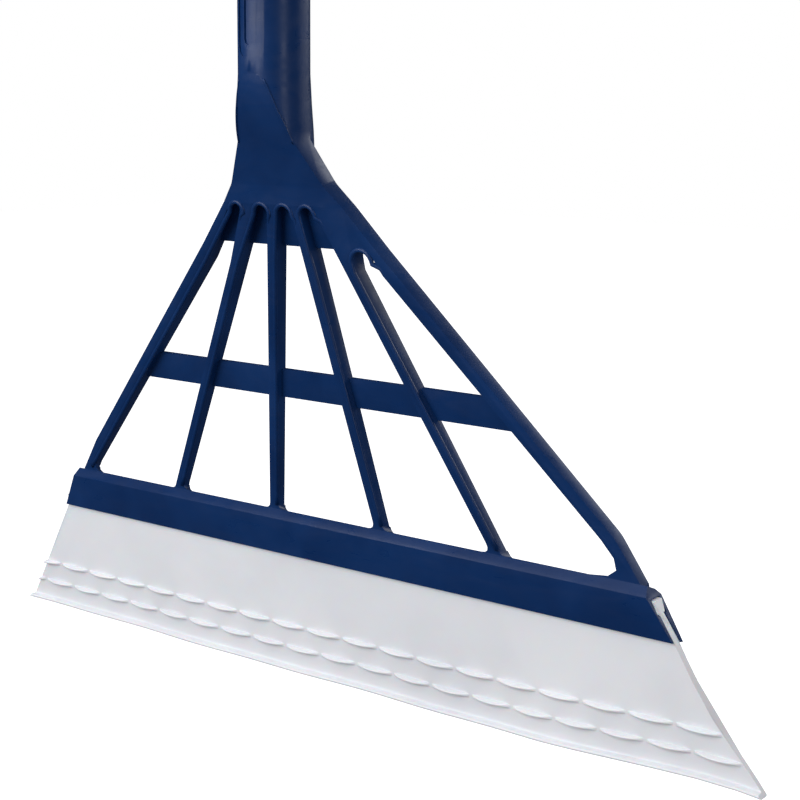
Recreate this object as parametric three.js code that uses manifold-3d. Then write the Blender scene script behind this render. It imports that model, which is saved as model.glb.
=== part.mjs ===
// Fan-headed snow and water scraper: an open moulded head with a flexible scalloped blade in a
// T-slot, on a two-part telescoping handle with a twist lock and a swivelling hanging loop.
// Units are millimetres, +Z is up the handle, +X runs across the head and +Y points to the back.
// Everything is laid out from the head datum, the point where the fan's front face would cross
// the handle axis, and the whole tool is then lowered so that the hanging point is the origin.
import * as THREE from 'three';
import { mergeVertices } from 'three/addons/utils/BufferGeometryUtils.js';
import Module from 'manifold-3d';

const wasm = await Module();
wasm.setup();

// ---- driving dimensions -------------------------------------------------------------------
const GAP = 0.3;                      // clearance between touching pieces
const WIDE = 220;                     // half-width of cutters that run right across the head

// Fan: laid out in its own tilted plane, w down from the datum and n back from the front face.
const FAN_TILT = THREE.MathUtils.degToRad(10.87);
const SLOT_TOP = 22.8;                // rounded tops of the four upper pockets
const SIDE_SLOT_TOP = 39.4;           // the right-hand side opening starts lower
const LEFT_POCKET = [-30, -23.2];     // edges of the leftmost pocket at its top
const SIDE_SLOT = [34, 43.4];         // and of the side opening
const WEB_BOTTOM = 40.5;
const BAR_TOP = 94.9;
const BAR_BOTTOM = 107.3;
const OPENING_BOTTOM = 159.5;
const OPENING_FALL = 0.63;            // how fast the openings' floors drop towards the back
const PLATE_FOOT = 166;               // the legs and ribs run on down inside the channel
const PLATE_FOOT_HALF = 158;
const RIB_HALF = 2.4;
const LEG_WIDTH = 7.6;
const RIBS = [{ at: 11.05, slope: 0.1744 }, { at: 33.1, slope: 0.5264 }];   // inner, outer, at w = 50
const LEFT_LEG = { at: 57.9, slope: 0.926 };                                // outer edge at w = 50
const RIGHT_LEG = { at: 58.1, slope: 0.962 };
const LEG_BACK = [2.5, 7.4, 4.8];     // leg depth at the tongue, at w = 24 and at the opening bottom
const RIB_BACK = [2.5, 7.1, 4.2];     // rib depth at the same three places
const WEB = { front: 4.3, back: 6.8 };
const BAR = { front: 3.0, back: 5.4 };

// Channel along the foot of the fan, and the blade that hangs in it.
const CHANNEL_TOP_HALF = 161.5;
const CHANNEL_FOOT_HALF = 171.3;
const CHANNEL_TOP_Z = -160.3;
const CHANNEL_FOOT_Z = -176.5;
const CHANNEL_BACK_Y = 37.6;
const BLADE_TILT = THREE.MathUtils.degToRad(4.41);
const BLADE_ROOT = { y: 33.6, z: -176.6 };    // middle of the blade where it leaves the channel
const BLADE_HALF = 1.65;
const BEAD = { half: 2.8, top: -14.9, foot: -9.9 };
const BLADE_DROP = 53;                // from the channel to the lip
const BLADE_LIP_HALF = 206.5;
const BLADE_WAIST = { drop: 27, x: 187 };     // the right-hand end is cut a little hollow
const LIP = { thickness: 1.6, reach: 4.2 };   // thin flange along the free edge
const SCALLOP_PITCH = 20.76;
const SCALLOP = { thickness: 1.6, reach: 3.2, least: 0.35 };
const SCALLOP_ROWS = [{ drop: 33.6, start: -182.1 }, { drop: 43.6, start: -195.1 }];

// Handle, heights above the datum.
const SOCKET_RADIUS = 14.4;
const SOCKET_TOP = 104;
const SOCKET_FLOOR = 23;
const LOWER_TUBE = { outer: 11, inner: 10, foot: 27, top: 505 };
const UPPER_TUBE = { outer: 12.7, inner: 12, foot: 124, top: 618 };
const BUTTON = { z: 80, radius: 3.6, inside: 8.3, outside: 15.8 };
const COLLAR = { foot: 107, top: 138, radius: 17.6, lobes: 14 };
const RIVET = { z: 147, radius: 1.6 };        // holds the collet in the upper tube
const BUSHING_RIVET = { z: 498, radius: 1.5 };
const BUTTON_HOLE = BUTTON.radius + 0.4;
const GRIP = { foot: 500, top: 612, radius: 16.6 };
const CAP = { foot: 618.3, top: 632, radius: 15.4 };
const LOOP = { foot: 632.3, eye_foot: 638, eye_top: 670, top: 677, half: 17, thickness: 6 };

// ---- finishes -----------------------------------------------------------------------------
const finish = (color, roughness, metalness = 0) => ({ color, roughness, metalness });
const NAVY = finish(0x1d2f63, 0.38);
const WHITE = finish(0xe4e5ee, 0.55);
const ALUMINIUM = finish(0xb9bdc4, 0.35, 0.9);
const STEEL = finish(0xc9cbd0, 0.25, 1);
const DARK = finish(0x23262c, 0.7);
const GREY = finish(0x6b7078, 0.5);

// ---- solids -------------------------------------------------------------------------------
// A closed three.js geometry as a manifold solid, after an optional placement.
function solid(geometry, matrix) {
  const g = geometry.clone();
  g.deleteAttribute('normal');
  g.deleteAttribute('uv');
  if (matrix) g.applyMatrix4(matrix);
  const merged = mergeVertices(g, 1e-4);
  return new wasm.Manifold(new wasm.Mesh({
    numProp: 3,
    vertProperties: new Float32Array(merged.attributes.position.array),
    triVerts: new Uint32Array(merged.index.array),
  }));
}

function toGeometry(manifold) {
  const mesh = manifold.getMesh();
  const g = new THREE.BufferGeometry();
  g.setAttribute('position', new THREE.BufferAttribute(new Float32Array(mesh.vertProperties), 3));
  g.setIndex(new THREE.BufferAttribute(new Uint32Array(mesh.triVerts), 1));
  return g;
}

const tool = new THREE.Group();

function piece(name, manifold, look) {
  const material = new THREE.MeshStandardMaterial(look);
  const mesh = new THREE.Mesh(toGeometry(manifold), material);
  mesh.name = name;
  tool.add(mesh);
  return mesh;
}

// A closed outline from corners [x, y, radius], with each radius as one smooth curve.
function outline(corners) {
  const shape = new THREE.Shape();
  const at = corners.map(([x, y]) => new THREE.Vector2(x, y));
  corners.forEach(([, , radius = 0], i) => {
    const here = at[i];
    const before = at[(i + at.length - 1) % at.length].clone().sub(here).normalize();
    const after = at[(i + 1) % at.length].clone().sub(here).normalize();
    const half = before.angleTo(after) / 2;
    const reach = radius / Math.tan(half);
    const from = here.clone().addScaledVector(before, reach);
    const to = here.clone().addScaledVector(after, reach);
    if (i === 0) shape.moveTo(from.x, from.y);
    else shape.lineTo(from.x, from.y);
    if (radius > 0) shape.quadraticCurveTo(here.x, here.y, to.x, to.y);
  });
  shape.closePath();
  return shape;
}

const extruded = (shape, depth, curveSegments = 4) =>
  new THREE.ExtrudeGeometry(shape, { depth, bevelEnabled: false, curveSegments });

// An outline drawn in the fan's plane, as [u, w, radius], between two depths behind its face.
function fanPrism(corners, front, back) {
  const shape = outline(corners.map(([u, w, r]) => [u, -w, r]));
  const place = new THREE.Matrix4().makeRotationX(Math.PI / 2 + FAN_TILT);
  place.multiply(new THREE.Matrix4().makeTranslation(0, 0, -back));
  return solid(extruded(shape, back - front), place);
}

// A side profile of [y, z] points, run across the head between two x values.
function sideProfile(points, x0, x1) {
  const axes = new THREE.Matrix4().makeBasis(
    new THREE.Vector3(0, 1, 0), new THREE.Vector3(0, 0, 1), new THREE.Vector3(1, 0, 0));
  axes.setPosition(x0, 0, 0);
  return solid(extruded(outline(points), x1 - x0), axes);
}

// A front view of [x, z, radius] corners, run back between two y values.
function frontProfile(corners, y0, y1, curveSegments = 4) {
  const place = new THREE.Matrix4().makeRotationX(Math.PI / 2);
  place.setPosition(0, y1, 0);
  return solid(extruded(outline(corners), y1 - y0, curveSegments), place);
}

// A turned body on the handle axis, from a profile of [radius, z] points that closes on itself.
function turned(profile, segments = 32) {
  const points = [...profile, profile[0]].map(([r, z]) => new THREE.Vector2(r, z));
  const upright = new THREE.Matrix4().makeRotationX(Math.PI / 2);
  return solid(new THREE.LatheGeometry(points, segments), upright);
}

const ring = (inner, outer, z0, z1, segments = 32) =>
  turned([[inner, z0], [outer, z0], [outer, z1], [inner, z1]], segments);

const disc = (radius, z0, z1, segments = 32) =>
  solid(new THREE.CylinderGeometry(radius, radius, z1 - z0, segments),
    new THREE.Matrix4().makeRotationX(Math.PI / 2).setPosition(0, 0, (z0 + z1) / 2));

// A pin along Y at a given height.
const pin = (radius, y0, y1, z, segments = 20) =>
  solid(new THREE.CylinderGeometry(radius, radius, y1 - y0, segments),
    new THREE.Matrix4().makeTranslation(0, (y0 + y1) / 2, z));

// ---- fan and blade coordinates ------------------------------------------------------------
const fanPoint = (w, n) => [
  w * Math.sin(FAN_TILT) + n * Math.cos(FAN_TILT),
  -w * Math.cos(FAN_TILT) + n * Math.sin(FAN_TILT),
];
const bladePoint = (drop, m) => [
  BLADE_ROOT.y + drop * Math.sin(BLADE_TILT) + m * Math.cos(BLADE_TILT),
  BLADE_ROOT.z - drop * Math.cos(BLADE_TILT) + m * Math.sin(BLADE_TILT),
];
const line = ({ at, slope }, w) => at + slope * (w - 50);
const legInner = (leg, w) => line(leg, w) - LEG_WIDTH;

// ---- head frame ---------------------------------------------------------------------------
// The plate narrows up the front of the socket as a tongue, and widens below it into two legs,
// which turn a little outwards again just above the channel.
function fanPlate() {
  const legTop = 40;
  const legFoot = 143;
  const side = (leg) => [
    [3.4, -32], [8.6, -20.8, 8], [14.4, -6, 12], [line(leg, 14) + 1.5, 14, 16],
    [line(leg, legTop), legTop, 20], [line(leg, legFoot), legFoot, 20],
    [PLATE_FOOT_HALF, OPENING_BOTTOM + 1.5], [PLATE_FOOT_HALF, PLATE_FOOT],
  ];
  const left = side(LEFT_LEG).map(([u, w, r]) => [-u, w, r]).reverse();
  return fanPrism([...side(RIGHT_LEG), ...left], -20, 16);
}

// Everything in front of the head's front face: a flat tongue that comes off the socket, dips
// back and runs into the plane of the fan.
function frontCutter() {
  const tongue = [[-14.3, 31], [-10.2, 16], [-7.2, 8], [-4.0, 0], [-0.8, -8], [1.6, -14]];
  const foot = fanPoint(OPENING_BOTTOM + 4, 0);
  return sideProfile([
    [-60, 31], ...tongue, fanPoint(22, 0), foot, [foot[0], -190], [-60, -190],
  ], -WIDE, WIDE);
}

// Everything behind the legs' or the ribs' backs, which taper both ways from where they part.
function behind([tongue, top, foot]) {
  return sideProfile([
    fanPoint(-60, tongue), fanPoint(-32, tongue), fanPoint(24, top), fanPoint(OPENING_BOTTOM, foot),
    fanPoint(190, foot), fanPoint(190, 60), fanPoint(-60, 60),
  ], -WIDE, WIDE);
}

// The five gaps between the two legs and the four ribs, as left and right edges. The outermost
// two have their own tops, because the leg is narrower beside the left one.
function gaps() {
  const [inner, outer] = RIBS;
  const edges = (w) => [
    -legInner(LEFT_LEG, w), -line(outer, w), -line(inner, w),
    line(inner, w), line(outer, w), legInner(RIGHT_LEG, w),
  ];
  const all = [0, 1, 2, 3, 4].map((i) => {
    const top = i === 4 ? SIDE_SLOT_TOP : SLOT_TOP;
    const left = (w) => edges(w)[i] + (i === 0 ? 0 : RIB_HALF);
    const right = (w) => edges(w)[i + 1] - (i === 4 ? 0 : RIB_HALF);
    return { top, left, right, crown: [left(top), right(top)], feet: [i === 0 ? 4 : 3, i === 4 ? 9 : 3] };
  });
  all[0].crown = LEFT_POCKET;
  all[4].crown = SIDE_SLOT;
  return all;
}

function gapPrism({ top, left, right, crown, feet }, front, back) {
  const round = 0.4 * (crown[1] - crown[0]);
  const neck = WEB_BOTTOM + 8;
  return fanPrism([
    [crown[0], top, round], [crown[1], top, round], [right(neck), neck],
    [right(OPENING_BOTTOM), OPENING_BOTTOM, feet[1]], [left(OPENING_BOTTOM), OPENING_BOTTOM, feet[0]],
    [left(neck), neck],
  ], front, back);
}

// The foot of an opening, whose floor and lower corners fall away towards the back.
function gapFoot({ left, right, feet }) {
  const top = OPENING_BOTTOM - 20;
  const depth = 8;
  const slice = (n) => {
    const floor = OPENING_BOTTOM + OPENING_FALL * n;
    return fanPrism([
      [left(top), top], [right(top), top], [right(floor), floor, feet[1]], [left(floor), floor, feet[0]],
    ], n - 0.01, n);
  };
  return slice(0).add(slice(depth)).hull();
}

// A strip right across the fan between two heights and two depths.
const band = (w0, w1, { front, back }) =>
  fanPrism([[-WIDE, w0], [WIDE, w0], [WIDE, w1], [-WIDE, w1]], front, back);

// A gap goes right through the plate, but leaves the web behind its top and the crossbar.
function gapCutter(gap) {
  return gapPrism(gap, -3, 30).add(gapFoot(gap))
    .subtract(band(0, WEB_BOTTOM, WEB)).subtract(band(BAR_TOP, BAR_BOTTOM, BAR));
}

// The sunk pockets in front of the web, which also cut into the socket's nose behind it.
function pockets() {
  const above = band(0, 60, { front: -3, back: WEB.front });
  return gaps().map((gap) => gapPrism(gap, -3, WEB.front).intersect(above))
    .reduce((all, pocket) => all.add(pocket));
}

function channelEnds() {
  const flare = (CHANNEL_FOOT_HALF - CHANNEL_TOP_HALF) / (CHANNEL_TOP_Z - CHANNEL_FOOT_Z);
  const foot = CHANNEL_FOOT_Z - 2;
  const wide = CHANNEL_TOP_HALF + flare * (CHANNEL_TOP_Z - foot);
  const right = [[158, -150], [CHANNEL_TOP_HALF, CHANNEL_TOP_Z], [wide, foot]];
  const left = right.map(([x, z]) => [-x, z]).reverse();
  return frontProfile([...right, ...left], 20, 50);
}

function channel() {
  const body = sideProfile([
    fanPoint(OPENING_BOTTOM, 0), [27.2, CHANNEL_TOP_Z], [30.3, CHANNEL_FOOT_Z],
    [CHANNEL_BACK_Y, CHANNEL_FOOT_Z - 0.9], [CHANNEL_BACK_Y, -160.8],
    fanPoint(OPENING_BOTTOM + 4 * OPENING_FALL, 4),
  ], -180, 180);
  const cavity = sideProfile([
    bladePoint(BEAD.top - GAP, -BEAD.half - GAP), bladePoint(BEAD.foot + GAP, -BEAD.half - GAP),
    bladePoint(BEAD.foot + GAP, BEAD.half + GAP), bladePoint(BEAD.top - GAP, BEAD.half + GAP),
  ], -159.5, 200);
  const stem = sideProfile([
    bladePoint(BEAD.foot, -BLADE_HALF - GAP), bladePoint(5, -BLADE_HALF - GAP),
    bladePoint(5, BLADE_HALF + GAP), bladePoint(BEAD.foot, BLADE_HALF + GAP),
  ], -200, 200);
  return { body: body.intersect(channelEnds()), cut: cavity.add(stem) };
}

// The round socket swells a little towards the fan and ends as a bullet nose on its back.
function socket() {
  return turned([
    [0, -36], [4, -35], [8, -30], [12, -21], [14.8, -11], [16, 0], [15.7, 8], [15, 18], [SOCKET_RADIUS, 30],
    [SOCKET_RADIUS, SOCKET_TOP - 9], [SOCKET_RADIUS + 1.3, SOCKET_TOP - 7],
    [SOCKET_RADIUS + 1.3, SOCKET_TOP], [0, SOCKET_TOP],
  ], 40);
}

// A plain sunk panel on the front of the socket, with a deeper round-ended slot in it.
function labelPanel() {
  const sunk = (half, z0, z1, r, depth) =>
    frontProfile([[-half, z0, r], [half, z0, r], [half, z1, r], [-half, z1, r]], -30, -5, 6)
      .subtract(disc(SOCKET_RADIUS - depth, z0 - 5, z1 + 5, 64));
  return sunk(6.7, 36.4, 91, 5.5, 0.5).add(sunk(3.1, 41, 86, 3, 1.2));
}

function headFrame() {
  const { body, cut } = channel();
  const innerHalf = (w) => legInner(LEFT_LEG, w) - 0.5;
  const innerField = fanPrism([
    [-innerHalf(24), 24], [innerHalf(24), 24],
    [innerHalf(OPENING_BOTTOM), OPENING_BOTTOM], [-innerHalf(OPENING_BOTTOM), OPENING_BOTTOM],
  ], -3, 40);
  let plate = fanPlate().subtract(behind(LEG_BACK));
  plate = plate.subtract(behind(RIB_BACK).intersect(innerField));
  gaps().forEach((gap) => { plate = plate.subtract(gapCutter(gap)); });
  const bore = disc(LOWER_TUBE.outer + GAP, SOCKET_FLOOR, SOCKET_TOP + 5);
  return plate.add(socket()).subtract(frontCutter()).subtract(pockets()).add(body).subtract(cut)
    .subtract(bore).subtract(labelPanel())
    .subtract(pin(BUTTON_HOLE, 5, 20, BUTTON.z));
}

// ---- blade --------------------------------------------------------------------------------
// A fin along the blade whose front edge swells out between cusps, as a row of flat crescents.
function scallopRow({ drop, start }) {
  const steps = 6;
  const root = BLADE_HALF - 0.6;
  const half = CHANNEL_FOOT_HALF + (BLADE_LIP_HALF - CHANNEL_FOOT_HALF) * drop / BLADE_DROP - 3;
  const shape = new THREE.Shape();
  shape.moveTo(-half, 0);
  for (let x = start - 2 * SCALLOP_PITCH; x < half; x += SCALLOP_PITCH / steps) {
    const swell = Math.abs(Math.sin(Math.PI * (x - start) / SCALLOP_PITCH)) ** 0.75;
    if (x > -half) shape.lineTo(x, root + SCALLOP.least + (SCALLOP.reach - SCALLOP.least) * swell);
  }
  shape.lineTo(half, 0);
  shape.closePath();
  const out = new THREE.Vector3(0, -Math.cos(BLADE_TILT), -Math.sin(BLADE_TILT));
  const down = new THREE.Vector3(0, Math.sin(BLADE_TILT), -Math.cos(BLADE_TILT));
  const place = new THREE.Matrix4().makeBasis(new THREE.Vector3(1, 0, 0), out, down);
  place.setPosition(0, ...bladePoint(drop - SCALLOP.thickness / 2, -0.6));
  return solid(extruded(shape, SCALLOP.thickness), place);
}

function blade() {
  const lipTop = BLADE_DROP - LIP.thickness;
  const profile = [
    [BEAD.top, -BEAD.half], [BEAD.foot, -BEAD.half], [BEAD.foot, -BLADE_HALF], [0, -BLADE_HALF],
    [lipTop, -1.1], [lipTop, -LIP.reach], [BLADE_DROP, -LIP.reach], [BLADE_DROP, 1.1],
    [0, BLADE_HALF], [BEAD.foot, BLADE_HALF], [BEAD.foot, BEAD.half], [BEAD.top, BEAD.half],
  ].map(([drop, m]) => bladePoint(drop, m));
  const [, lip] = bladePoint(BLADE_DROP + 1, 0);
  const [, waist] = bladePoint(BLADE_WAIST.drop, 0);
  const right = [
    [163.5, BLADE_ROOT.z + 20], [163.5, BLADE_ROOT.z + 12], [CHANNEL_FOOT_HALF, BLADE_ROOT.z],
    [BLADE_WAIST.x, waist], [BLADE_LIP_HALF, lip],
  ];
  const left = [
    [-BLADE_LIP_HALF, lip], [-CHANNEL_FOOT_HALF, BLADE_ROOT.z], [-158.9, BLADE_ROOT.z + 8.9],
    [-158.9, BLADE_ROOT.z + 20],
  ];
  const sheet = sideProfile(profile, -WIDE, WIDE).intersect(frontProfile([...right, ...left], 20, 60));
  return SCALLOP_ROWS.reduce((all, row) => all.add(scallopRow(row)), sheet);
}

// ---- handle -------------------------------------------------------------------------------
function lowerTube() {
  const { inner, outer, foot, top } = LOWER_TUBE;
  return ring(inner, outer, foot, top).subtract(pin(BUTTON_HOLE, 5, 20, BUTTON.z))
    .subtract(pin(BUSHING_RIVET.radius + GAP, 4, 12, BUSHING_RIVET.z));
}

const tubePlug = () => turned([
  [0, SOCKET_FLOOR + GAP], [10.6, SOCKET_FLOOR + GAP], [10.6, LOWER_TUBE.foot - GAP],
  [LOWER_TUBE.inner - GAP, LOWER_TUBE.foot - GAP], [LOWER_TUBE.inner - GAP, LOWER_TUBE.foot + 12],
  [0, LOWER_TUBE.foot + 12],
]);

// A bent strip whose free leg carries the button.
function buttonSpring() {
  const foot = 46;
  const head = BUTTON.z + 6;
  const out = 7.9;
  const inn = 7.1;
  return sideProfile([
    [-out, head], [-out, foot + 6, 3], [-2, foot, 2], [2, foot, 2], [out, foot + 6, 3], [out, head],
    [inn, head], [inn, foot + 6.4, 2.5], [1.7, foot + 0.9, 1.5], [-1.7, foot + 0.9, 1.5],
    [-inn, foot + 6.4, 2.5], [-inn, head],
  ], -3.5, 3.5);
}

// The plug in the top of the lower tube whose collar slides inside the upper tube.
const tubeBushing = () => turned([
  [0, LOWER_TUBE.top - 14], [LOWER_TUBE.inner - GAP, LOWER_TUBE.top - 14],
  [LOWER_TUBE.inner - GAP, LOWER_TUBE.top + GAP], [UPPER_TUBE.inner - 0.35, LOWER_TUBE.top + GAP],
  [UPPER_TUBE.inner - 0.35, LOWER_TUBE.top + 8], [9, LOWER_TUBE.top + 10], [0, LOWER_TUBE.top + 10],
]).subtract(pin(BUSHING_RIVET.radius + GAP, 4, 12, BUSHING_RIVET.z));

const bushingRivet = () =>
  pin(BUSHING_RIVET.radius, 4.6, LOWER_TUBE.outer + 0.3, BUSHING_RIVET.z, 16);

// Split jaws that the collar squeezes onto the lower tube.
function lockCollet() {
  const { outer } = UPPER_TUBE;
  const seat = UPPER_TUBE.foot - GAP;
  let collet = turned([
    [LOWER_TUBE.outer + GAP, 112], [13.2, 112], [14.4, 122], [14.4, 142.4], [16.4, 142.4], [16.4, 152],
    [15, 153.5], [outer + GAP, 153.5], [outer + GAP, seat], [LOWER_TUBE.outer + GAP, seat],
  ]);
  for (const angle of [0, 90]) {
    const slit = new THREE.Matrix4().makeRotationZ(THREE.MathUtils.degToRad(angle + 45));
    slit.multiply(new THREE.Matrix4().makeTranslation(0, 0, 114));
    collet = collet.subtract(solid(new THREE.BoxGeometry(40, 1.6, 12), slit));
  }
  return collet.subtract(pin(RIVET.radius + GAP, -20, 20, RIVET.z));
}

const colletRivet = (side) => {
  const [y0, y1] = [UPPER_TUBE.inner - 0.8, 17];
  return side > 0 ? pin(RIVET.radius, y0, y1, RIVET.z, 16) : pin(RIVET.radius, -y1, -y0, RIVET.z, 16);
};

const upperTube = () =>
  ring(UPPER_TUBE.inner, UPPER_TUBE.outer, UPPER_TUBE.foot, UPPER_TUBE.top)
    .subtract(pin(RIVET.radius + GAP, -20, 20, RIVET.z));

// The twist collar: a lobed nut, open below for the lower tube.
function lockCollar() {
  const { foot, top, radius, lobes } = COLLAR;
  const shape = new THREE.Shape();
  const perLobe = 4;
  for (let i = 0; i < lobes * perLobe; i += 1) {
    const angle = (i / (lobes * perLobe)) * 2 * Math.PI;
    const r = radius - 0.9 * (0.5 - 0.5 * Math.cos(lobes * angle)) ** 2;
    const [x, y] = [r * Math.cos(angle), r * Math.sin(angle)];
    if (i === 0) shape.moveTo(x, y);
    else shape.lineTo(x, y);
  }
  const body = solid(extruded(shape, top - foot), new THREE.Matrix4().makeTranslation(0, 0, foot));
  const envelope = turned([
    [0, foot], [radius - 1.6, foot], [radius, foot + 3], [radius, top - 2], [radius - 1, top], [0, top],
  ], 56);
  const inside = turned([
    [0, foot - 1], [LOWER_TUBE.outer + 0.5, foot - 1], [LOWER_TUBE.outer + 0.5, foot + 3],
    [13.6, foot + 5], [14.75, foot + 15], [14.75, top + 1], [0, top + 1],
  ]);
  return body.intersect(envelope).subtract(inside);
}

const collarWiper = () => ring(LOWER_TUBE.outer + 0.4, 15, SOCKET_TOP + 0.5, COLLAR.foot - GAP);
const collarBand = () => ring(UPPER_TUBE.outer + 2.05, 16.2, COLLAR.top + GAP, 142.1);

function gripSleeve() {
  const { foot, top, radius } = GRIP;
  const bore = UPPER_TUBE.outer + GAP;
  const profile = [[bore, foot], [radius - 1.5, foot], [radius, foot + 2]];
  const bumps = 6;
  for (let i = 0; i < bumps; i += 1) {
    const z = foot + 12 + i * 16;
    profile.push([radius, z], [radius - 1.1, z + 2.5], [radius - 1.1, z + 5], [radius, z + 7.5]);
  }
  return turned([...profile, [radius, top - 2], [radius - 1.5, top], [bore, top]], 28);
}

const gripRing = () => turned([
  [UPPER_TUBE.outer + GAP, GRIP.foot - 6], [15, GRIP.foot - 6], [16.4, GRIP.foot - 4],
  [16.4, GRIP.foot - GAP], [UPPER_TUBE.outer + GAP, GRIP.foot - GAP],
]);

const endCap = () => turned([
  [0, UPPER_TUBE.top - 18], [UPPER_TUBE.inner - GAP, UPPER_TUBE.top - 18],
  [UPPER_TUBE.inner - GAP, CAP.foot], [CAP.radius, CAP.foot], [CAP.radius, CAP.foot + 7],
  [12.5, CAP.top], [0, CAP.top],
]).subtract(disc(2.5 + GAP, UPPER_TUBE.top - 10, CAP.top + 5, 20));

// A flat stirrup with a straight bearing edge at the top of its eye.
function hangerLoop() {
  const { foot, eye_foot: eyeFoot, eye_top: eyeTop, top, half, thickness } = LOOP;
  const bar = 5.5;
  const mirrored = (side) => [...side, ...side.map(([x, z, r]) => [-x, z, r]).reverse()];
  const outer = mirrored([[9, foot, 1], [half, foot + 12, 8], [half, top - 8, 8], [half - 8, top, 6]]);
  const eye = mirrored([
    [6.5, eyeFoot, 3], [half - bar, foot + 14, 6], [half - bar, eyeTop - 5, 5], [half - 10, eyeTop, 3],
  ]);
  return frontProfile(outer, -thickness / 2, thickness / 2)
    .subtract(frontProfile(eye, -thickness, thickness))
    .subtract(disc(1.9 + GAP, foot - 2, eyeFoot + 2, 20));
}

const hangerPivot = () => disc(1.9, UPPER_TUBE.top - 9, LOOP.eye_foot + 0.5, 20)
  .add(turned([[0, LOOP.eye_foot + GAP], [4.2, LOOP.eye_foot + GAP], [3.6, LOOP.eye_foot + 2.2],
    [0, LOOP.eye_foot + 2.8]], 20));

// ---- the tool -----------------------------------------------------------------------------
piece('head_frame', headFrame(), NAVY);
piece('squeegee_blade', blade(), WHITE);
piece('lower_tube', lowerTube(), ALUMINIUM);
piece('lower_tube_plug', tubePlug(), DARK);
piece('snap_button', pin(BUTTON.radius, BUTTON.inside, BUTTON.outside, BUTTON.z, 24), STEEL);
piece('button_spring', buttonSpring(), STEEL);
piece('tube_bushing', tubeBushing(), GREY);
piece('bushing_rivet', bushingRivet(), STEEL);
piece('upper_tube', upperTube(), ALUMINIUM);
piece('lock_collet', lockCollet(), GREY);
piece('collet_rivet_back', colletRivet(1), STEEL);
piece('collet_rivet_front', colletRivet(-1), STEEL);
piece('lock_collar', lockCollar(), NAVY);
piece('collar_wiper', collarWiper(), DARK);
piece('collar_band', collarBand(), WHITE);
piece('grip_sleeve', gripSleeve(), NAVY);
piece('grip_ring', gripRing(), WHITE);
piece('end_cap', endCap(), NAVY);
piece('hanger_loop', hangerLoop(), NAVY);
piece('hanger_pivot', hangerPivot(), STEEL);

tool.position.set(0, 0, -LOOP.eye_top);
const roofRake = new THREE.Group();
roofRake.add(tool);
export default roofRake;
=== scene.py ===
import math
import bmesh
import bpy
import numpy as np
from mathutils import Matrix, Vector


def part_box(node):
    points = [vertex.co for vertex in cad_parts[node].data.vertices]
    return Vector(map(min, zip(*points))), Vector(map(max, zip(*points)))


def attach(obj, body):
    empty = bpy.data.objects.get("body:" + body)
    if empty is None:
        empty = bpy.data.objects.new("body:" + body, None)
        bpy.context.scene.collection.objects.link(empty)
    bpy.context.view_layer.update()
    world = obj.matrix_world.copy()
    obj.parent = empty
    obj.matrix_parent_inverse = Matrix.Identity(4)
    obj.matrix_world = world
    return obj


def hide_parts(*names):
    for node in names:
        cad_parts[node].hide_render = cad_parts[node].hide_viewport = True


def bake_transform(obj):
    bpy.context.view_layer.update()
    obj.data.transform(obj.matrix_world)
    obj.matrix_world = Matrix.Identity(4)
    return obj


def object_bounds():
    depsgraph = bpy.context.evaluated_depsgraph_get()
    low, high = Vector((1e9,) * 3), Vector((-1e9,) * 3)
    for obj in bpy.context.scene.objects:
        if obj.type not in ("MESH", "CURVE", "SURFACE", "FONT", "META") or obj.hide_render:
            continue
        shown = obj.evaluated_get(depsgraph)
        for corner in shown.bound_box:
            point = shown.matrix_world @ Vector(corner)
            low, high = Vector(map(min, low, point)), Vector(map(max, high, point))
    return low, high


# A fan-headed scraper with a flexible blade on a telescoping handle. Lengths are millimetres from the
# head datum, the point where the fan's front plane crosses the handle axis, turned into metres by at().
# Each visible piece is a finer version of the CAD piece that it stands for.

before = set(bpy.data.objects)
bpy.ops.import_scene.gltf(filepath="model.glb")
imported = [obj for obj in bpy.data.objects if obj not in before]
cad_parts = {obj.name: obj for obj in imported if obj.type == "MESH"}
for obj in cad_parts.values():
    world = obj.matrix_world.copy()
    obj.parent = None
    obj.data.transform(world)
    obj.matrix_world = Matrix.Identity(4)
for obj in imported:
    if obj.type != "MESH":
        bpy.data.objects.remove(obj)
cad_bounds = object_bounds()

MM = 0.001
SOCKET_TOP = 104.0
DATUM_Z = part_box("head_frame")[1].z / MM - SOCKET_TOP
FAN_TILT = math.radians(10.87)
BLADE_TILT = math.radians(4.41)
SOCKET_PROFILE = [(-11, 14.8), (0, 16.0), (8, 15.7), (18, 15.0), (30, 14.4), (SOCKET_TOP - 9, 14.4)]
TONGUE_PROFILE = [(-13, 1.3), (-8, -0.8), (0, -4.0), (8, -7.2), (16, -10.2), (22, -11.6), (28, -12.9)]

# The fan: distances down its front plane, then the inner edge of each leg and the middle of each rib,
# as the offset at EDGE_DROP and the slope.
SLOT_TOP = 22.8
SIDE_SLOT_TOP = 39.4
WEB_BOTTOM = 40.5
OPENING_BOTTOM = 159.5
RIB_HALF = 2.4
EDGE_DROP = 50
EDGES = [(-50.3, -0.926), (-33.1, -0.5264), (-11.05, -0.1744),
         (11.05, 0.1744), (33.1, 0.5264), (50.5, 0.962)]
LEFT_POCKET = (-30.0, -23.2)
SIDE_SLOT = (34.0, 43.4)
RIM = {"radius": 1.0, "inset": 0.75, "sink": 0.25, "fade": 1.1, "end": 6}
TONGUE_BEAD = 0.4

BLADE_ROOT = (33.6, -176.6)
BLADE_HALF = 1.65
BLADE_DROP = 53.0
LIP_THICKNESS = 1.6
LIP_REACH = 4.2
SCALLOP_PITCH = 20.76
SCALLOP_THICKNESS = 1.3
SCALLOP_REACH = 2.6
SCALLOP_ROWS = [(32.9, -182.1), (42.9, -195.1)]

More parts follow.
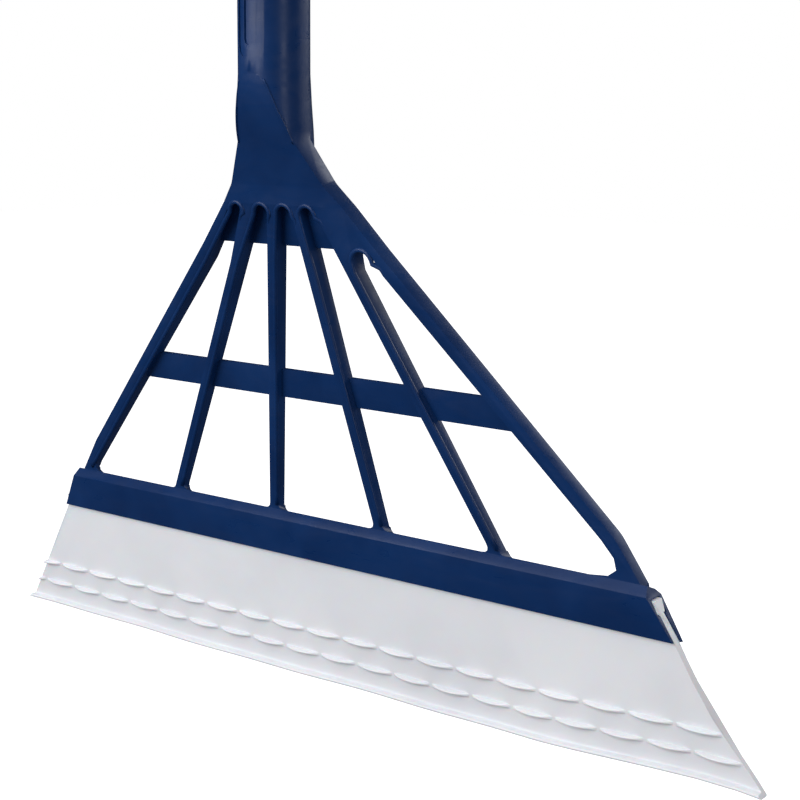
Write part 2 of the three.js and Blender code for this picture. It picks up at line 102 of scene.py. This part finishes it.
# The handle: radii, and heights above the head datum.
LOWER_TUBE = {"outer": 11.0, "inner": 10.0, "foot": 27.0, "top": 505.0}
UPPER_TUBE = {"outer": 12.7, "inner": 12.0, "foot": 124.0, "top": 618.0}
BUTTON_Z = 80.0
SPRING = {"half_width": 3.5, "half_thick": 0.4, "bevel": 0.12, "leg": 7.5, "bow": 7.6, "bottom": 54.0}
COLLAR = {"foot": 107.0, "top": 138.0, "radius": 17.6, "lobes": 14}
WIPER = {"inner": 11.4, "outer": 15.0, "foot": 104.5}
BAND = {"inner": 14.75, "outer": 16.2, "top": 142.1}
GRIP = {"foot": 500.0, "top": 612.0, "radius": 16.6}
GRIP_WAVE = {"count": 6, "start": 12, "pitch": 16, "depth": 1.1, "rounding": 1.4}
CAP = {"foot": 618.3, "top": 632.0, "radius": 15.4, "eye": 2.8}
GAP = 0.3

CAMERA = {"yaw": 39.40, "pitch": -9.43, "roll": 0.394, "lens": 77.98, "shift": (-0.0033, -0.0124),
          "place": (483.9, -507.4, 19.4)}
SKY_SEEN = 1.0
SKY_LIGHT = 0.26
SKY_MIRRORED = 0.05


def at(x, y, z):
    """A point in metres in the tool's frame, from millimetres about the head datum."""
    return Vector((x * MM, y * MM, (z + DATUM_Z) * MM))


def on_fan(u, w, n=0.0):
    """A point across, down and behind the fan's front plane."""
    y = w * math.sin(FAN_TILT) + n * math.cos(FAN_TILT)
    z = -w * math.cos(FAN_TILT) + n * math.sin(FAN_TILT)
    return at(u, y, z)


# ---- camera, light and floor ---------------------------------------------------------------

def make_camera():
    """The photograph's viewpoint: level with the socket, to the front right of the head."""
    yaw, pitch, roll = (math.radians(CAMERA[turn]) for turn in ("yaw", "pitch", "roll"))
    ahead = Vector((-math.sin(yaw) * math.cos(pitch), math.cos(yaw) * math.cos(pitch), math.sin(pitch)))
    level = Vector((math.cos(yaw), math.sin(yaw), 0))
    upright = level.cross(ahead)
    right = math.cos(roll) * level + math.sin(roll) * upright
    up = math.cos(roll) * upright - math.sin(roll) * level
    data = bpy.data.cameras.new("camera")
    data.sensor_width = 36
    data.lens = CAMERA["lens"]
    data.shift_x, data.shift_y = CAMERA["shift"]
    camera = bpy.data.objects.new("camera", data)
    camera.matrix_world = Matrix((right, up, -ahead)).transposed().to_4x4()
    camera.matrix_world.translation = at(*CAMERA["place"])
    bpy.context.collection.objects.link(camera)
    bpy.context.scene.camera = camera


def make_light(name, place, target, size, power, colour=(1, 1, 1)):
    data = bpy.data.lights.new(name, "AREA")
    data.shape = "RECTANGLE"
    data.size, data.size_y = size
    data.energy = power
    data.color = colour
    lamp = bpy.data.objects.new(name, data)
    lamp.location = place
    lamp.rotation_euler = (target - lamp.location).to_track_quat("-Z", "Y").to_euler()
    bpy.context.collection.objects.link(lamp)


def sky(nodes, colour, strength):
    background = nodes.new("ShaderNodeBackground")
    background.inputs["Color"].default_value = (*colour, 1)
    background.inputs["Strength"].default_value = strength
    return background.outputs[0]


def make_studio():
    """Four soft lights, and a sky that looks white to the camera but lights and reflects less."""
    middle = at(0, 20, -110)
    make_light("key", at(-650, -1450, 620), middle, (1.6, 1.2), 31)
    make_light("side", at(1500, -420, 150), middle, (0.3, 1.6), 6)
    make_light("rim", at(500, 1300, 500), middle, (1.4, 0.7), 9)
    make_light("top", at(-300, -300, 1400), middle, (1.2, 1.0), 7)
    world = bpy.data.worlds.new("studio")
    world.use_nodes = True
    nodes, links = world.node_tree.nodes, world.node_tree.links
    nodes.clear()
    seen = sky(nodes, (1, 1, 1), SKY_SEEN)
    lighting = sky(nodes, (0.93, 0.96, 1.0), SKY_LIGHT)
    mirrored = sky(nodes, (0.85, 0.92, 1.0), SKY_MIRRORED)
    path = nodes.new("ShaderNodeLightPath")
    by_gloss = nodes.new("ShaderNodeMixShader")
    mix = nodes.new("ShaderNodeMixShader")
    out = nodes.new("ShaderNodeOutputWorld")
    links.new(path.outputs["Is Glossy Ray"], by_gloss.inputs[0])
    links.new(lighting, by_gloss.inputs[1])
    links.new(mirrored, by_gloss.inputs[2])
    links.new(path.outputs["Is Camera Ray"], mix.inputs[0])
    links.new(by_gloss.outputs[0], mix.inputs[1])
    links.new(seen, mix.inputs[2])
    links.new(mix.outputs[0], out.inputs["Surface"])
    bpy.context.scene.world = world
    bpy.context.scene.view_settings.view_transform = "Standard"


def make_floor():
    """A pale floor well below the hanging tool, larger than any view of it."""
    mesh = bpy.data.meshes.new("floor")
    reach = 9.0
    level = cad_bounds[0][2] - 0.5
    mesh.from_pydata([(-reach, -reach, level), (reach, -reach, level), (reach, reach, level),
                      (-reach, reach, level)], [], [(0, 1, 2, 3)])
    floor = bpy.data.objects.new("floor", mesh)
    bpy.context.collection.objects.link(floor)
    material = bpy.data.materials.new("pale_floor")
    material.use_nodes = True
    shader = material.node_tree.nodes["Principled BSDF"]
    shader.inputs["Base Color"].default_value = (0.9, 0.9, 0.9, 1)
    shader.inputs["Roughness"].default_value = 0.9
    shader.inputs["Specular IOR Level"].default_value = 0.0
    shader.inputs["Emission Color"].default_value = (1, 1, 1, 1)
    shader.inputs["Emission Strength"].default_value = 1.0
    mesh.materials.append(material)
    floor.visible_glossy = False
    floor.visible_diffuse = False


# ---- materials -----------------------------------------------------------------------------

class Finish:
    """A Principled material whose colour, roughness and relief come from procedural textures."""

    def __init__(self, name, roughness, metallic=0.0, ior=1.49, specular=0.5, scatter=0.0):
        self.material = bpy.data.materials.new(name)
        self.material.use_nodes = True
        self.nodes = self.material.node_tree.nodes
        self.links = self.material.node_tree.links
        self.shader = self.nodes["Principled BSDF"]
        self.shader.inputs["Metallic"].default_value = metallic
        self.shader.inputs["IOR"].default_value = ior
        self.shader.inputs["Roughness"].default_value = roughness
        self.shader.inputs["Specular IOR Level"].default_value = specular
        self.shader.inputs["Subsurface Weight"].default_value = scatter
        self.shader.inputs["Subsurface Scale"].default_value = 0.003
        self.place = self.nodes.new("ShaderNodeTexCoord").outputs["Object"]
        self.relief = None

    def stretched(self, scale):
        """Object coordinates scaled unevenly, for grain with a direction."""
        mapping = self.nodes.new("ShaderNodeMapping")
        mapping.inputs["Scale"].default_value = scale
        self.links.new(self.place, mapping.inputs["Vector"])
        return mapping.outputs["Vector"]

    def noise(self, scale, detail=3.0, distortion=0.0, vector=None):
        node = self.nodes.new("ShaderNodeTexNoise")
        node.inputs["Scale"].default_value = scale
        node.inputs["Detail"].default_value = detail
        node.inputs["Distortion"].default_value = distortion
        self.links.new(vector or self.place, node.inputs["Vector"])
        return node.outputs["Fac"]

    def spread(self, value, low, high, from_low=0.3, from_high=0.7):
        node = self.nodes.new("ShaderNodeMapRange")
        node.inputs["From Min"].default_value = from_low
        node.inputs["From Max"].default_value = from_high
        node.inputs["To Min"].default_value = low
        node.inputs["To Max"].default_value = high
        self.links.new(value, node.inputs["Value"])
        return node.outputs["Result"]

    def colours(self, value, stops):
        ramp = self.nodes.new("ShaderNodeValToRGB")
        elements = ramp.color_ramp.elements
        elements[0].position, elements[0].color = stops[0][0], (*stops[0][1], 1)
        elements[1].position, elements[1].color = stops[-1][0], (*stops[-1][1], 1)
        for position, colour in stops[1:-1]:
            elements.new(position).color = (*colour, 1)
        self.links.new(value, ramp.inputs["Fac"])
        self.links.new(ramp.outputs["Color"], self.shader.inputs["Base Color"])

    def roughness(self, value):
        self.links.new(value, self.shader.inputs["Roughness"])

    def bump(self, height, depth_mm, strength=1.0):
        node = self.nodes.new("ShaderNodeBump")
        node.inputs["Distance"].default_value = depth_mm * MM
        node.inputs["Strength"].default_value = strength
        self.links.new(height, node.inputs["Height"])
        if self.relief:
            self.links.new(self.relief, node.inputs["Normal"])
        self.relief = node.outputs["Normal"]
        self.links.new(self.relief, self.shader.inputs["Normal"])


def moulded_navy():
    f = Finish("moulded_navy", 0.34, specular=0.22)
    cloud = f.noise(28, 4, 0.6)
    flow = f.noise(60, 5, 2.2, f.stretched((0.5, 1.0, 1.6)))
    f.colours(cloud, [(0.3, (0.0024, 0.0190, 0.082)), (0.5, (0.0032, 0.0235, 0.098)),
                      (0.72, (0.0046, 0.0290, 0.116))])
    f.roughness(f.spread(flow, 0.26, 0.44))
    f.bump(f.noise(2600, 2), 0.012, 0.5)
    f.bump(flow, 0.12, 0.55)
    return f.material


def soft_white():
    f = Finish("soft_white", 0.46, ior=1.47, scatter=0.25)
    cloud = f.noise(16, 3, 0.4)
    f.colours(cloud, [(0.3, (0.69, 0.70, 0.735)), (0.7, (0.76, 0.77, 0.80))])
    f.roughness(f.spread(f.noise(90, 3), 0.36, 0.54))
    f.bump(f.noise(1900, 2), 0.010, 0.4)
    f.bump(f.noise(45, 4, 1.0), 0.25, 0.35)
    return f.material


def anodised():
    f = Finish("anodised", 0.3, metallic=1.0)
    grain = f.noise(900, 4, 0.0, f.stretched((1.0, 1.0, 0.02)))
    f.colours(grain, [(0.3, (0.52, 0.53, 0.55)), (0.7, (0.68, 0.69, 0.71))])
    f.roughness(f.spread(grain, 0.22, 0.38))
    f.bump(grain, 0.02, 0.35)
    return f.material


def ground_steel():
    f = Finish("ground_steel", 0.22, metallic=1.0)
    grain = f.noise(1400, 3)
    f.colours(grain, [(0.3, (0.58, 0.58, 0.59)), (0.7, (0.74, 0.74, 0.75))])
    f.roughness(f.spread(f.noise(260, 3), 0.14, 0.32))
    f.bump(grain, 0.008, 0.4)
    return f.material


def fine_matt(name, dark, light, low=0.42, high=0.62):
    f = Finish(name, 0.5)
    f.colours(f.noise(40, 4, 0.5), [(0.3, dark), (0.7, light)])
    f.roughness(f.spread(f.noise(150, 3), low, high))
    f.bump(f.noise(2400, 2), 0.02, 0.5)
    f.bump(f.noise(80, 3), 0.08, 0.3)
    return f.material


def grip_skin():
    f = Finish("grip_skin", 0.6)
    cells = f.nodes.new("ShaderNodeTexVoronoi")
    cells.inputs["Scale"].default_value = 1500
    f.links.new(f.place, cells.inputs["Vector"])
    f.colours(f.noise(60, 4), [(0.3, (0.010, 0.022, 0.075)), (0.7, (0.018, 0.036, 0.115))])
    f.roughness(f.spread(f.noise(200, 3), 0.5, 0.7))
    f.bump(cells.outputs["Distance"], 0.05, 0.6)
    return f.material


# ---- mesh helpers --------------------------------------------------------------------------

def make_piece(name, points, faces, body, stands_for, material, smooth=True):
    mesh = bpy.data.meshes.new(name)
    mesh.from_pydata(points, [], faces)
    mesh.validate()
    made = bpy.data.objects.new(name, mesh)
    bpy.context.collection.objects.link(made)
    return dress(made, body, stands_for, material, smooth)


def dress(made, body, stands_for, material, smooth=True):
    made.data.materials.clear()
    made.data.materials.append(material)
    made.data.polygons.foreach_set("use_smooth", [smooth] * len(made.data.polygons))
    if body:
        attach(made, body)
    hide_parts(*stands_for)
    return made


def applied(made):
    """Turns a piece's modifiers into its mesh."""
    bpy.context.view_layer.update()
    evaluated = made.evaluated_get(bpy.context.evaluated_depsgraph_get())
    mesh = bpy.data.meshes.new_from_object(evaluated)
    made.modifiers.clear()
    made.data = mesh
    return made


def copy_of(node, name):
    made = bpy.data.objects.new(name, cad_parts[node].data.copy())
    bpy.context.collection.objects.link(made)
    return made


def tube_between(points, radius, sides=8):
    """Points and faces of a closed round bead along a path, in metres."""
    path = [Vector(p) for p in points]
    verts, faces = [], []
    for i, here in enumerate(path):
        ahead = (path[min(i + 1, len(path) - 1)] - path[max(i - 1, 0)]).normalized()
        out = Vector((0, -1, 0)) - ahead * Vector((0, -1, 0)).dot(ahead)
        out.normalize()
        side = ahead.cross(out)
        for k in range(sides):
            angle = 2 * math.pi * k / sides
            verts.append(here + (out * math.cos(angle) + side * math.sin(angle)) * radius)
    for i in range(len(path) - 1):
        for k in range(sides):
            a, b = i * sides + k, i * sides + (k + 1) % sides
            faces.append((a, b, b + sides, a + sides))
    faces.append(tuple(range(sides))[::-1])
    last = (len(path) - 1) * sides
    faces.append(tuple(range(last, last + sides)))
    return verts, faces


def sharpen(made, degrees):
    """Keeps the edges above this angle crisp on a smooth-shaded piece."""
    made.data.set_sharp_from_angle(angle=math.radians(degrees))


def softened(node, name, body, material, width_mm, segments=2):
    """A copy of a CAD piece with its flat faces made whole and its hard edges rounded over."""
    made = copy_of(node, name)
    bm = bmesh.new()
    bm.from_mesh(made.data)
    bmesh.ops.remove_doubles(bm, verts=bm.verts, dist=0.002 * MM)
    bmesh.ops.dissolve_limit(bm, angle_limit=math.radians(1), verts=bm.verts, edges=bm.edges)
    bm.to_mesh(made.data)
    bm.free()
    bevel = made.modifiers.new("edge", "BEVEL")
    bevel.width = width_mm * MM
    bevel.segments = segments
    bevel.limit_method = "ANGLE"
    bevel.angle_limit = math.radians(32)
    applied(made)
    dress(made, body, [node], material)
    sharpen(made, 40)
    return made


# ---- head ----------------------------------------------------------------------------------

def edge(i, w):
    """How far across the fan the line EDGES[i] lies, at w down it."""
    start, slope = EDGES[i]
    return start + slope * (w - EDGE_DROP)


def rim_path(gap):
    """The raised rim of one opening: up the edge of the rib on its left, over its top and down."""
    top = SIDE_SLOT_TOP if gap == 4 else SLOT_TOP

    def left(w):
        return edge(gap, w) + (RIB_HALF if gap else 0.0)

    def right(w):
        return edge(gap + 1, w) - (RIB_HALF if gap < 4 else 0.0)

    ends = {0: LEFT_POCKET, 4: SIDE_SLOT}.get(gap, (left(top), right(top)))
    radius = (ends[1] - ends[0]) / 2
    middle = (ends[0] + ends[1]) / 2
    inset, sink = RIM["inset"], RIM["sink"]
    neck = WEB_BOTTOM + 8
    path = []
    for w in np.linspace(OPENING_BOTTOM - 2, neck, 24):
        path.append(on_fan(left(w) - inset, w, sink))
    join = path[-1]
    shoulder = on_fan(ends[0] - inset, top + radius, sink)
    for t in np.linspace(0, 1, 8)[1:]:
        path.append(join.lerp(shoulder, float(t)))
    for angle in np.linspace(180, 0, 11)[1:]:
        a = math.radians(angle)
        u, w = middle + (radius + inset) * math.cos(a), top + radius - (radius + inset) * math.sin(a)
        path.append(on_fan(u, w, sink))
    start = top + radius
    for w in np.linspace(start, start + RIM["end"], 5)[1:]:
        u = right(w) if w > neck else ends[1] + (right(neck) - ends[1]) * (w - top) / (neck - top)
        path.append(on_fan(u + inset, w, sink + RIM["fade"] * (w - start) / RIM["end"]))
    return path


def along(profile, z):
    """The value at a height of a profile of (height, value) points."""
    return float(np.interp(z, [p[0] for p in profile], [p[1] for p in profile]))


def tongue_edge(side):
    """The fine raised edge where the flat tongue leaves the round socket, on one side."""
    path = []
    for z in np.linspace(28, 3, 20):
        y = along(TONGUE_PROFILE, z)
        reach = math.sqrt(max(along(SOCKET_PROFILE, z) ** 2 - y * y, 0.0))
        path.append(at(side * (reach - 0.15), y - 0.05, z))
    return path


def make_head(material):
    """The moulding with its edges rounded over, and the raised beads round its openings."""
    made = softened("head_frame", "head_shell", "head", material, 0.5, 3)
    bm = bmesh.new()
    bm.from_mesh(made.data)
    beads = [(rim_path(gap), RIM["radius"]) for gap in range(5)]
    beads += [(tongue_edge(side), TONGUE_BEAD) for side in (-1, 1)]
    for path, radius in beads:
        verts, faces = tube_between(path, radius * MM, 12)
        new = [bm.verts.new(v) for v in verts]
        for face in faces:
            bm.faces.new([new[k] for k in face]).smooth = True
    bm.to_mesh(made.data)
    bm.free()
    return made


# ---- blade ---------------------------------------------------------------------------------

def blade_point(drop, m):
    y = BLADE_ROOT[0] + drop * math.sin(BLADE_TILT) + m * math.cos(BLADE_TILT)
    z = BLADE_ROOT[1] - drop * math.cos(BLADE_TILT) + m * math.sin(BLADE_TILT)
    return y, z


def face_depth(drop):
    """The blade's front face thins a little from the channel to the lip."""
    return -BLADE_HALF + (BLADE_HALF - 1.1) * max(drop, 0.0) / BLADE_DROP


def fin_outline(row):
    """One fin as (drop, depth, share of its reach) points: filleted at its root, with a round edge."""
    half = SCALLOP_THICKNESS / 2
    below = [(half - 0.4, 0.98), (half - 0.12, 0.86), (half, 0.6), (half + 0.05, 0.25),
             (half + 0.25, 0.04), (half + 0.7, 0.0)]
    steps = [(-d, share) for d, share in reversed(below)] + [(0.0, 1.0)] + below
    return [(row + d, face_depth(row + d), share) for d, share in steps]


def blade_section():
    """The blade's outline as (drop, depth, fin share) points."""
    front = [(-14.9, -2.5), (-14.6, -2.8), (-10.2, -2.8), (-9.9, -2.5), (-9.9, -1.65), (-5.0, -1.65)]
    section = [(d, m, 0.0) for d, m in front]
    section += [(float(d), face_depth(d), 0.0) for d in np.arange(0, 32, 2.5)]
    section += fin_outline(SCALLOP_ROWS[0][0])
    section += [(float(d), face_depth(d), 0.0) for d in (36.5, 38.5, 40.5)]
    section += fin_outline(SCALLOP_ROWS[1][0])
    section += [(float(d), face_depth(d), 0.0) for d in (46.5, 48.5, 50.0)]
    top = BLADE_DROP - LIP_THICKNESS
    lip = [(top - 0.7, -1.12), (top - 0.2, -1.25), (top, -1.6), (top, -3.4), (top + 0.15, -3.9),
           (top + 0.5, -LIP_REACH), (BLADE_DROP - 0.5, -LIP_REACH), (BLADE_DROP - 0.15, -3.9),
           (BLADE_DROP, -3.4), (BLADE_DROP, 0.5), (BLADE_DROP - 0.4, 1.1)]
    back = [(48.0, 1.15), (40.0, 1.25), (30.0, 1.36), (20.0, 1.46), (10.0, 1.56), (0.0, 1.65),
            (-5.0, 1.65), (-9.9, 1.65), (-9.9, 2.5), (-10.2, 2.8), (-14.6, 2.8), (-14.9, 2.5)]
    return section + [(d, m, 0.0) for d, m in lip + back]


def blade_ends(drop):
    """The blade's left and right ends: the right one is cut a little hollow, the left one straight."""
    right = np.interp(drop, [-12, 0, 14, 27, 38, 46, 53],
                      [163.5, 171.3, 178.9, 187.0, 195.8, 202.6, 208.0])
    left = -np.interp(drop, [0, 53], [171.3, 206.0]) if drop > -8.9 else -158.9
    return left, right


def swell(x, start):
    """The reach of a scalloped fin at x: a row of crescents between cusps."""
    wave = max(0.0, abs(math.sin(math.pi * (x - start) / SCALLOP_PITCH)) - 0.12) ** 0.8 * 1.1
    return SCALLOP_REACH * wave


def slack(x, drop):
    """How far the free edge hangs low or lifts, and how far it waves back and forth."""
    share = max(0.0, drop / BLADE_DROP) ** 1.6
    low = np.interp(x, [-206, 60, 110, 150, 182, 198, 208], [1.1, 1.0, 0.5, -0.9, -2.3, -2.0, -1.0])
    wave = 0.5 * math.sin(x / 29.0 + 0.6) + 0.3 * math.sin(x / 11.0)
    return share * float(low), share * wave


def make_blade(material):
    section = blade_section()
    stations = 820
    size = len(section)
    split = (SCALLOP_ROWS[0][0] + SCALLOP_ROWS[1][0]) / 2
    points = []
    for i in range(stations + 1):
        s = i / stations
        for drop, m, share in section:
            left, right = blade_ends(drop)
            x = left + s * (right - left)
            if share:
                m -= share * swell(x, SCALLOP_ROWS[0 if drop < split else 1][1])
            lower, back = slack(x, drop)
            points.append(at(x, *blade_point(drop + lower, m + back)))
    faces = []
    for i in range(stations):
        for k in range(size):
            a, b = i * size + k, i * size + (k + 1) % size
            faces.append((a, a + size, b + size, b))
    faces.append(tuple(range(size)))
    faces.append(tuple(range(stations * size, (stations + 1) * size))[::-1])
    made = make_piece("blade_sheet", points, faces, "blade", ["squeegee_blade"], material)
    sharpen(made, 50)
    return made


# ---- handle --------------------------------------------------------------------------------

def rounded(corners, steps=4):
    """A closed outline of (radius, height, rounding) corners as points, with each corner rounded."""
    points = []
    count = len(corners)
    for i, (r, z, rounding) in enumerate(corners):
        here = Vector((r, z))
        if not rounding:
            points.append(here)
            continue
        before = Vector(corners[i - 1][:2]) - here
        after = Vector(corners[(i + 1) % count][:2]) - here
        start = here + before.normalized() * min(rounding, before.length * 0.49)
        end = here + after.normalized() * min(rounding, after.length * 0.49)
        for k in range(steps + 1):
            t = k / steps
            points.append(start * (1 - t) ** 2 + here * 2 * t * (1 - t) + end * t ** 2)
    return points


def turned(name, corners, body, node, material, segments=96, ripple=None, sharp=40):
    """A turned piece on the handle's axis from a closed outline that goes up its outside."""
    outline = rounded(corners)
    size = len(outline)
    points = []
    for i in range(segments):
        angle = 2 * math.pi * i / segments
        for r, z in outline:
            radius = r - (ripple(angle, r, z) if ripple else 0.0)
            points.append(at(radius * math.cos(angle), radius * math.sin(angle), z))
    faces = []
    for i in range(segments):
        for k in range(size):
            a, b = i * size + k, i * size + (k + 1) % size
            c, d = (a + size) % (segments * size), (b + size) % (segments * size)
            faces.append((a, c, d, b))
    made = make_piece(name, points, faces, body, [node], material)
    sharpen(made, sharp)
    return made


def pierced(made, radius, y0, y1, z):
    """Drills a round hole along Y through a piece."""
    bm = bmesh.new()
    turn = Matrix.Rotation(math.pi / 2, 4, "X")
    turn.translation = at(0, (y0 + y1) / 2, z)
    bmesh.ops.create_cone(bm, cap_ends=True, segments=40, radius1=radius * MM, radius2=radius * MM,
                          depth=(y1 - y0) * MM, matrix=turn)
    mesh = bpy.data.meshes.new("drill")
    bm.to_mesh(mesh)
    bm.free()
    drill = bpy.data.objects.new("drill", mesh)
    bpy.context.collection.objects.link(drill)
    cut = made.modifiers.new("hole", "BOOLEAN")
    cut.object = drill
    cut.operation = "DIFFERENCE"
    cut.solver = "EXACT"
    applied(made)
    bpy.data.objects.remove(drill)
    return made


def make_spring(metal):
    """The bent leaf behind the button: two straight legs joined by a round bow at its bottom."""
    half_width, half_thick, bevel = (SPRING[k] for k in ("half_width", "half_thick", "bevel"))
    leg, bow, bottom = (SPRING[k] for k in ("leg", "bow", "bottom"))
    top = BUTTON_Z + 6
    path = [(-leg, z) for z in np.linspace(top, bottom, 12)]
    path += [(-leg * math.cos(a), bottom - bow * math.sin(a)) for a in np.linspace(0, math.pi, 25)[1:-1]]
    path += [(leg, z) for z in np.linspace(bottom, top, 12)]
    path = [Vector(p) for p in path]
    section = [(-half_width, 1 - bevel / half_thick), (-half_width + bevel, 1), (half_width - bevel, 1),
               (half_width, 1 - bevel / half_thick)]
    section += [(x, -n) for x, n in reversed(section)]
    size = len(section)
    points, faces = [], []
    for i, here in enumerate(path):
        ahead = (path[min(i + 1, len(path) - 1)] - path[max(i - 1, 0)]).normalized()
        side = Vector((-ahead.y, ahead.x)) * half_thick
        for x, n in section:
            points.append(at(x, *(here + side * n)))
    for i in range(len(path) - 1):
        for k in range(size):
            a, b = i * size + k, i * size + (k + 1) % size
            faces.append((a, b, b + size, a + size))
    faces.append(tuple(range(size))[::-1])
    faces.append(tuple(range((len(path) - 1) * size, len(path) * size)))
    made = make_piece("spring_leaf", points, faces, None, ["button_spring"], metal)
    bm = bmesh.new()
    bm.from_mesh(made.data)
    bmesh.ops.recalc_face_normals(bm, faces=bm.faces)
    bm.to_mesh(made.data)
    bm.free()
    sharpen(made, 40)
    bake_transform(made)
    return made


def make_tube(name, tube, body, node, metal):
    outer, inner, foot, top = (tube[k] for k in ("outer", "inner", "foot", "top"))
    corners = [(inner, foot, 0.2), (outer, foot, 0.2), (outer, top, 0.2), (inner, top, 0.2)]
    return turned(name, corners, body, node, metal, 128)


def make_tubes(metal):
    """The lower tube with its button hole, and the upper tube that slides over it."""
    lower = make_tube("lower_tube_skin", LOWER_TUBE, "head", "lower_tube", metal)
    pierced(lower, 4.0, 5, 20, BUTTON_Z)
    make_tube("upper_tube_skin", UPPER_TUBE, "handle", "upper_tube", metal)


def make_lock(navy, dark, white):
    """The lobed twist collar, the wiper under it and the band above it."""
    foot, top, radius, lobes = (COLLAR[k] for k in ("foot", "top", "radius", "lobes"))
    bore = LOWER_TUBE["outer"] + 0.5

    def lobed(angle, r, z):
        if r < radius - 2.2:
            return 0.0
        fade = min(1.0, (z - foot) / 3.0, (top - z) / 2.5)
        return 1.0 * max(0.0, fade) * (0.5 - 0.5 * math.cos(lobes * angle)) ** 2

    side = [(radius, foot + 3 + k * (top - foot - 5.5) / 8, 0.0) for k in range(9)]
    turned("twist_collar", [(bore, foot, 0.4), (radius - 1.6, foot, 0.9), (radius, foot + 2.6, 1.2), *side,
                            (radius, top - 2, 0.9), (radius - 1, top, 0.5), (BAND["inner"], top, 0.3),
                            (BAND["inner"], foot + 15, 0.0), (13.6, foot + 5, 0.0), (bore, foot + 3, 0.3)],
           "collar", "lock_collar", navy, lobes * 18, lobed)
    inner, outer = WIPER["inner"], WIPER["outer"]
    turned("wiper_ring", [(inner, WIPER["foot"], 0.3), (outer, WIPER["foot"], 0.5),
                          (outer, foot - GAP, 0.5), (inner, foot - GAP, 0.3)],
           "collar", "collar_wiper", dark)
    inner, outer = BAND["inner"], BAND["outer"]
    turned("band_ring", [(inner, top + GAP, 0.3), (outer, top + GAP, 0.7),
                         (outer, BAND["top"], 0.7), (inner, BAND["top"], 0.3)],
           "handle", "collar_band", white)


def make_grip(skin, white, navy):
    """The ribbed foam sleeve, the ring below it and the cap above it."""
    foot, top, radius = (GRIP[k] for k in ("foot", "top", "radius"))
    bore = UPPER_TUBE["outer"] + GAP
    corners = [(bore, foot, 0.4), (radius - 1.2, foot, 1.0), (radius, foot + 2.2, 1.4)]
    depth, rounding = GRIP_WAVE["depth"], GRIP_WAVE["rounding"]
    for i in range(GRIP_WAVE["count"]):
        z = foot + GRIP_WAVE["start"] + i * GRIP_WAVE["pitch"]
        corners += [(radius, z, rounding), (radius - depth, z + 2.4, rounding),
                    (radius - depth, z + 5.1, rounding), (radius, z + 7.5, rounding)]
    corners += [(radius, top - 2.2, 1.4), (radius - 1.2, top, 1.0), (bore, top, 0.4)]
    turned("grip_foam", corners, "handle", "grip_sleeve", skin)
    ring_foot, ring_top = foot - 6, foot - GAP
    turned("grip_foot_ring", [(bore, ring_foot, 0.3), (15, ring_foot, 0.6), (16.4, ring_foot + 2, 0.6),
                              (16.4, ring_top, 0.5), (bore, ring_top, 0.3)],
           "handle", "grip_ring", white)
    inner, tube_top, eye = UPPER_TUBE["inner"] - GAP, UPPER_TUBE["top"], CAP["eye"]
    turned("end_cap_dome", [(eye, tube_top - 10, 0.2), (eye, tube_top - 18, 0.2), (inner, tube_top - 18, 0.8),
                            (inner, CAP["foot"], 0.0), (CAP["radius"], CAP["foot"], 0.5),
                            (CAP["radius"], CAP["foot"] + 6, 3.0), (13.0, CAP["top"] - 1.2, 2.4),
                            (8.0, CAP["top"], 1.5), (eye, CAP["top"], 0.4)],
           "handle", "end_cap", navy)


# ---- build ---------------------------------------------------------------------------------

make_camera()
make_studio()
make_floor()

navy = moulded_navy()
white = soft_white()
metal = anodised()
steel = ground_steel()
dark = fine_matt("dark_matt", (0.012, 0.012, 0.014), (0.022, 0.022, 0.025))
grey = fine_matt("grey_matt", (0.12, 0.13, 0.15), (0.17, 0.18, 0.20))
satin = fine_matt("white_satin", (0.62, 0.62, 0.64), (0.72, 0.72, 0.74), 0.3, 0.45)

make_head(navy)
make_blade(white)
make_tubes(metal)
make_spring(steel)
make_lock(navy, dark, satin)
make_grip(grip_skin(), satin, navy)
softened("hanger_loop", "hanging_loop", "hanger", navy, 0.9, 3)
softened("hanger_pivot", "pivot_stud", "handle", steel, 0.3)
softened("lock_collet", "split_collet", "handle", grey, 0.25)
softened("snap_button", "button_head", "button", steel, 0.9, 4)
softened("tube_bushing", "slide_bushing", "head", grey, 0.3)
softened("lower_tube_plug", "tube_plug", "head", dark, 0.3)
softened("collet_rivet_back", "rivet_back", "handle", steel, 0.4, 3)
softened("collet_rivet_front", "rivet_front", "handle", steel, 0.4, 3)
softened("bushing_rivet", "rivet_bushing", "head", steel, 0.25)
